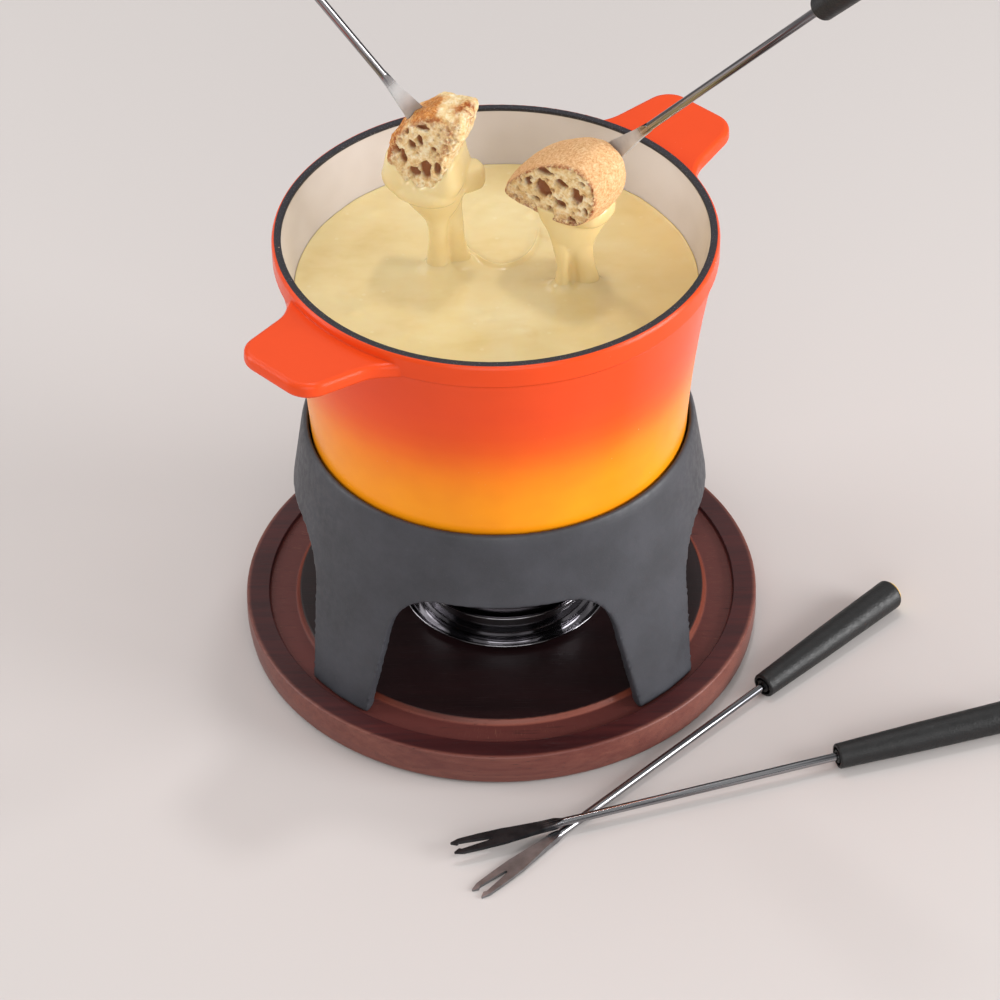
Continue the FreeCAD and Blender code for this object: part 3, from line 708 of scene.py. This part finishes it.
def baguette_end(material):
    """A cut face of open crumb, a floury crust round it, and a rounded far end."""
    count = 220
    outline = [p * MM for p in closed_curve(BAGUETTE_OUTLINE, count)]
    middle = sum(outline, Vector((0, 0))) / count
    rings, masks = [], {"crust": [], "toast": [], "hole_depth_and_shade": []}

    def add_ring(share, depth, crust, toast):
        ring = []
        for p in outline:
            across = middle + (p - middle) * share
            place = BAGUETTE_FACE + BAGUETTE_SIDE * across.x + BAGUETTE_UP * across.y
            hole_depth_and_shade = 0.0
            if depth is None:
                for x, y, half_x, half_y in BAGUETTE_HOLES:
                    away = math.hypot((across.x / MM - x) / half_x, (across.y / MM - y) / half_y)
                    away += 0.35 * fractal(place, 0.0035, 2)
                    hole_depth_and_shade = max(hole_depth_and_shade, smooth(away, 1.15, 0.75))
                hole_depth_and_shade = max(hole_depth_and_shade, 0.6 * crumb_pit(place, 0.0034, 0.6))
                hole_depth_and_shade *= smooth(share, 0.985, 0.93)
                depth_here = 0.0036 * hole_depth_and_shade - 0.0004 * fractal(place, 0.004, 3)
                low = smooth(-across.y, 0.002, 0.012) * smooth(share, 0.45, 0.9)
                toast_here = max(smooth(share, 0.90, 0.985), 0.8 * low)
            else:
                depth_here = depth + 0.0003 * fractal(place, 0.006, 3)
                toast_here = toast
            outward = (BAGUETTE_SIDE * (p - middle).x + BAGUETTE_UP * (p - middle).y).normalized()
            bulge = 0.0005 * fractal(place + BAGUETTE_AXIS * (depth or 0), 0.012, 3)
            bulge *= min(1.0, share * share)
            ring.append(place + BAGUETTE_AXIS * depth_here + outward * bulge)
            masks["crust"].append(crust)
            masks["toast"].append(toast_here)
            masks["hole_depth_and_shade"].append(hole_depth_and_shade)
        rings.append(ring)

    for step in range(1, FACE_RINGS + 1):
        add_ring(step / (FACE_RINGS + 2), None, 0.0, 0.0)
    for step in range(SIDE_RINGS + 1):
        t = step / SIDE_RINGS
        depth = 0.0003 + t * BAGUETTE_LENGTH
        share = 0.985 + 0.150 * math.sin(math.pi * min(t * 1.05, 1.0))
        share *= math.sqrt(max(1 - smooth(t, 0.62, 1.12) ** 2, 0.02))
        lip = smooth(t, 0.07, 0.0)
        add_ring(share, depth, smooth(t, 0.0, 0.03), max(lip, 0.9 * smooth(t, 0.80, 0.95)))
    for step in range(1, END_RINGS + 1):
        t = step / (END_RINGS + 1)
        add_ring(share * (1 - t), BAGUETTE_LENGTH + 0.0006 * t, 1.0, 0.4)
    centre = BAGUETTE_FACE + BAGUETTE_SIDE * middle.x + BAGUETTE_UP * middle.y
    poles = [centre + BAGUETTE_AXIS * depth for depth in (0.0, BAGUETTE_LENGTH + 0.0012)]
    points, faces = ringed(rings, *poles)
    for mask, ends in (("crust", (0.0, 1.0)), ("toast", (0.0, 0.4)), ("hole_depth_and_shade", (0.0, 0.0))):
        masks[mask] = [ends[0]] + masks[mask] + [ends[1]]
    piece = mesh_object("baguette_end", points, faces, material, masks)
    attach(piece, "fork_4")
    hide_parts("bread_right")


def add_blob(points, faces, centre, half, turn, power, ripple, cuts=20):
    """Adds a rounded lump, from ball to soft box, to a growing mesh."""
    corners, lump_faces = cube_sphere(cuts)
    spin = Matrix.Rotation(turn, 3, "Z")
    lump = []
    for corner in corners:
        size = sum(abs(c) ** power for c in corner) ** (1 / power)
        unit = corner / size
        local = Vector((unit.x * half.x, unit.y * half.y, unit.z * half.z))
        here = centre + spin @ local
        lump.append(here + unit.normalized() * ripple * fractal(here, 0.009, 3))
    add_part(points, faces, lump, lump_faces)


def add_strand(points, faces, stations):
    """Adds a strand through stations, each a centre, a half width and a half depth."""
    circle = around(28)
    steps = 10
    rings = []
    total = len(stations)
    for index in range((total - 1) * steps + 1):
        t = index / steps
        i = min(int(t), total - 2)
        f = t - i
        picked = [stations[min(max(i + k, 0), total - 1)] for k in (-1, 0, 1, 2)]
        values = []
        for part in range(5):
            parts = [(s[0][part] if part < 3 else s[part - 2]) for s in picked]
            values.append(curve_value(*parts, f))
        x, y, z, width, depth = values
        rings.append([Vector((x + width * cosine, y + depth * sine, z)) for cosine, sine in circle])
    add_part(points, faces, *ringed(rings, Vector(stations[0][0]), Vector(stations[-1][0])))


def add_skin(rough, voxel, passes):
    """Wraps an object in one even skin and relaxes it."""
    remesh = rough.modifiers.new("skin", "REMESH")
    remesh.mode = "VOXEL"
    remesh.voxel_size = voxel
    relax = rough.modifiers.new("relax", "SMOOTH")
    relax.iterations = passes
    relax.factor = 0.5


def melted(name, points, faces, material, voxel, passes):
    """One smooth skin round overlapping lumps and strands."""
    rough = mesh_object(name + "_parts", points, faces, material)
    add_skin(rough, voxel, passes)
    piece = evaluated_copy(rough, name, material)
    bpy.data.objects.remove(rough)
    return piece


def evaluated_copy(source, name, material):
    """A plain mesh object that holds what a modified object shows."""
    bpy.context.view_layer.update()
    shown = source.evaluated_get(bpy.context.evaluated_depsgraph_get())
    mesh = bpy.data.meshes.new_from_object(shown)
    mesh.name = name
    mesh.materials.clear()
    mesh.materials.append(material)
    mesh.polygons.foreach_set("use_smooth", [True] * len(mesh.polygons))
    return add_object(name, mesh)


def cheese_on_chunk(material):
    """The cheese that coats the torn chunk's lower half and runs down in two strands."""
    points, faces = [], []
    add_coat(points, faces)
    add_blob(points, faces, Vector((-0.0112, 0.0118, 0.2432)), Vector((0.0068, 0.0050, 0.0070)),
             0.5, 3.6, 0.0002)
    add_blob(points, faces, Vector((-0.0300, 0.0075, 0.2400)), Vector((0.0150, 0.0105, 0.0062)),
             CHUNK_TURN, 2.4, 0.0003, 30)
    z = CHEESE_Z
    add_strand(points, faces, [
        ((-0.0275, 0.0060, 0.2400), 0.0150, 0.0085),
        ((-0.0262, 0.0065, 0.2310), 0.0100, 0.0056),
        ((-0.0256, 0.0075, 0.2230), 0.0052, 0.0040),
        ((-0.0256, 0.0088, 0.2130), 0.0042, 0.0034),
        ((-0.0258, 0.0102, 0.2060), 0.0044, 0.0034),
        ((-0.0260, 0.0112, z + 0.0050), 0.0050, 0.0038),
        ((-0.0262, 0.0116, z - 0.0018), 0.0060, 0.0046)])
    add_strand(points, faces, [
        ((-0.0220, 0.0095, 0.2360), 0.0080, 0.0060),
        ((-0.0205, 0.0102, 0.2280), 0.0060, 0.0038),
        ((-0.0190, 0.0110, 0.2200), 0.0050, 0.0030),
        ((-0.0184, 0.0122, 0.2110), 0.0048, 0.0028),
        ((-0.0180, 0.0134, 0.2040), 0.0052, 0.0030),
        ((-0.0172, 0.0144, z + 0.0040), 0.0060, 0.0034),
        ((-0.0166, 0.0150, z - 0.0018), 0.0066, 0.0040)])
    piece = melted("cheese_string_left", points, faces, material, 0.0007, 10)
    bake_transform(piece)


def cheese_on_baguette(material):
    """The cheese under the baguette end, drawn down to a neck that parts into three strands."""
    points, faces = [], []
    turn = math.atan2(BAGUETTE_SIDE.y, BAGUETTE_SIDE.x)
    add_blob(points, faces, Vector((0.0350, 0.0032, 0.2352)), Vector((0.0180, 0.0132, 0.0078)),
             turn, 2.6, 0.0005, 36)
    add_blob(points, faces, Vector((0.0458, 0.0045, 0.2392)), Vector((0.0050, 0.0098, 0.0054)),
             turn, 2.4, 0.0004)
    z = CHEESE_Z
    add_strand(points, faces, [
        ((0.0345, -0.0020, 0.2372), 0.0170, 0.0082),
        ((0.0345, -0.0032, 0.2310), 0.0152, 0.0064),
        ((0.0343, -0.0040, 0.2250), 0.0120, 0.0050),
        ((0.0338, -0.0040, 0.2190), 0.0098, 0.0038),
        ((0.0338, -0.0036, 0.2130), 0.0086, 0.0026),
        ((0.0340, -0.0030, 0.2080), 0.0078, 0.0018),
        ((0.0342, -0.0024, 0.2030), 0.0074, 0.0016),
        ((0.0344, -0.0020, z + 0.0050), 0.0074, 0.0018),
        ((0.0346, -0.0018, z - 0.0010), 0.0088, 0.0030)])
    add_strand(points, faces, [
        ((0.0370, -0.0035, 0.2180), 0.0058, 0.0036),
        ((0.0382, -0.0033, 0.2100), 0.0050, 0.0036),
        ((0.0395, -0.0032, 0.2040), 0.0046, 0.0034),
        ((0.0404, -0.0030, z + 0.0050), 0.0050, 0.0038),
        ((0.0408, -0.0030, z - 0.0018), 0.0058, 0.0046)])
    add_strand(points, faces, [
        ((0.0290, -0.0042, 0.2180), 0.0040, 0.0032),
        ((0.0292, -0.0046, 0.2100), 0.0031, 0.0029),
        ((0.0292, -0.0046, 0.2040), 0.0028, 0.0028),
        ((0.0290, -0.0044, z + 0.0050), 0.0032, 0.0032),
        ((0.0288, -0.0042, z - 0.0018), 0.0040, 0.0040)])
    piece = melted("cheese_string_right", points, faces, material, 0.0006, 8)
    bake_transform(piece)


def stand_casting(material):
    """The stand with the softened edges of a sand casting."""
    rough = NODES["cast_stand"].copy()
    rough.data = NODES["cast_stand"].data.copy()
    rough.parent = None
    bpy.context.scene.collection.objects.link(rough)
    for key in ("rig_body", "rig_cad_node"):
        del rough[key]
    add_skin(rough, 0.0010, 6)
    piece = evaluated_copy(rough, "stand_casting", material)
    bpy.data.objects.remove(rough)
    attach(piece, "stand")
    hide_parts("cast_stand")


def woven_gauze(material):
    """Wires, six-sided, that cross over and under each other, cut to the cup's round."""
    centre = (GAUZE_LOW + GAUZE_HIGH) / 2
    reach = (GAUZE_HIGH.x - GAUZE_LOW.x) / 2
    pitch, wire, sides = 0.0016, 0.00022, 6
    points, faces = [], []
    lines = int(reach / pitch)
    for direction in (0, 1):
        for line in range(-lines, lines + 1):
            offset = line * pitch
            half = math.sqrt(max(reach * reach - offset * offset, 0.0)) - wire
            if half < pitch:
                continue
            steps = int(half / pitch) * 4 + 4
            base = len(points)
            for step in range(steps + 1):
                run = -half + 2 * half * step / steps
                rise = wire * math.cos(math.pi * run / pitch + math.pi * (line + direction))
                for corner in range(sides):
                    spin = corner * 2 * math.pi / sides
                    across, up = wire * math.cos(spin), wire * math.sin(spin) + rise
                    flat = (run, offset + across) if direction == 0 else (offset + across, run)
                    points.append(Vector((centre.x + flat[0], centre.y + flat[1], centre.z + up)))
                    if step < steps:
                        start = base + step * sides
                        a, b = start + corner, start + (corner + 1) % sides
                        faces.append((a, b, b + sides, a + sides))
            faces.append(tuple(base + k for k in range(sides)))
            faces.append(tuple(base + steps * sides + k for k in range(sides)))
    piece = mesh_object("gauze_weave", points, faces, material)
    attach(piece, "burner")
    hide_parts("burner_gauze")


def looking(place, target):
    """The pose of something at one place that faces another."""
    aim = (target - place).to_track_quat("-Z", "Y").to_matrix().to_4x4()
    return Matrix.Translation(place) @ aim


def make_camera():
    data = bpy.data.cameras.new("camera")
    data.sensor_width = SENSOR
    data.lens = LENS
    camera = add_object("camera", data)
    roll = Matrix.Rotation(CAMERA_ROLL, 4, "Z")
    camera.matrix_world = looking(CAMERA_PLACE, CAMERA_TARGET) @ roll
    bpy.context.scene.camera = camera


def make_floor():
    mesh = bpy.data.meshes.new("floor")
    half = FLOOR_HALF
    corners = [(-half, -half, 0), (half, -half, 0), (half, half, 0), (-half, half, 0)]
    mesh.from_pydata(corners, [], [(0, 1, 2, 3)])
    floor = add_object("floor", mesh)
    s = Surface("floor_paper", Specular_IOR_Level=0.1)
    s.set(Base_Color=s.mix(s.noise(2.0, 2), "CBC5C3", "CDC7C5"), Roughness=0.8)
    mesh.materials.append(s.material)


def area_light(name, place, size, power):
    data = bpy.data.lights.new(name, "AREA")
    data.shape = "RECTANGLE"
    data.size, data.size_y = size
    data.energy = power
    add_object(name, data).matrix_world = looking(place, LIGHT_TARGET)


def make_light():
    area_light("key", Vector((-1.2, 0.9, 2.2)), (2.0, 2.0), 14)
    area_light("right", Vector((1.9, -0.5, 0.50)), (1.1, 1.2), 44)
    area_light("left", Vector((-2.0, 0.1, 0.75)), (0.8, 1.3), 14)
    area_light("front", Vector((0.1, -2.6, 1.0)), (2.2, 1.2), 26)
    area_light("sparkle", Vector((0.15, 0.25, 1.6)), (0.14, 0.14), 4)
    world = bpy.data.worlds.new("studio")
    bpy.context.scene.world = world
    world.use_nodes = True
    tree = world.node_tree
    direction = tree.nodes.new("ShaderNodeTexCoord").outputs["Generated"]
    split = tree.nodes.new("ShaderNodeSeparateXYZ")
    tree.links.new(direction, split.inputs[0])
    shade = tree.nodes.new("ShaderNodeMapRange")
    shade.interpolation_type = "SMOOTHSTEP"
    tree.links.new(split.outputs[2], shade.inputs[0])
    for name, value in (("From Min", 0.05), ("From Max", 0.60), ("To Min", 0.20), ("To Max", 0.60)):
        shade.inputs[name].default_value = value
    back = tree.nodes["Background"]
    back.inputs[0].default_value = colour("FBFAF8")
    tree.links.new(shade.outputs[0], back.inputs[1])


make_camera()
make_floor()
make_light()
bpy.context.scene.view_settings.view_transform = "Standard"

enamel().paint("cast_pot")
mahogany().paint("wooden_base")
burner_steel("burner_stainless", "A6A4A8", 0.07).paint("burner_tray", "burner_shell", "fuel_cup")
burner_steel("burner_stainless_top", "989399", 0.14).paint("burner_band", "burner_lid",
                                                           "regulator_shutter")
burner_steel("regulator_stainless", "B4B2B4", 0.2).paint("regulator_lever")
pad_wool().paint("absorbent_pad")
plastic = grip_plastic().paint("regulator_knob")
CAPS = {"fork_1": ("F4C60E", "E3B208"), "fork_2": ("C9271C", "AE1D14"),
        "fork_3": ("1F5FA8", "184E8E"), "fork_4": ("2E8B4A", "23753C")}
for fork, (light, dark) in CAPS.items():
    fork_steel(fork).paint(fork + "_steel")
    plastic.paint(fork + "_grip")
    cap_plastic(fork + "_cap_plastic", light, dark).paint(fork + "_cap")

stand_casting(cast_iron().material)
woven_gauze(gauze_wire().material)
cheese = cheese_surface("melted_cheese_gloss").material
pool(cheese)
torn_chunk(bread_surface("torn_bread", "DD9B52", "B9672B", "9A4A1C").material)
baguette_end(bread_surface("baguette_bread", "E4B482", "C98F58", "93451F").material)
cheese_on_chunk(cheese)
cheese_on_baguette(cheese)
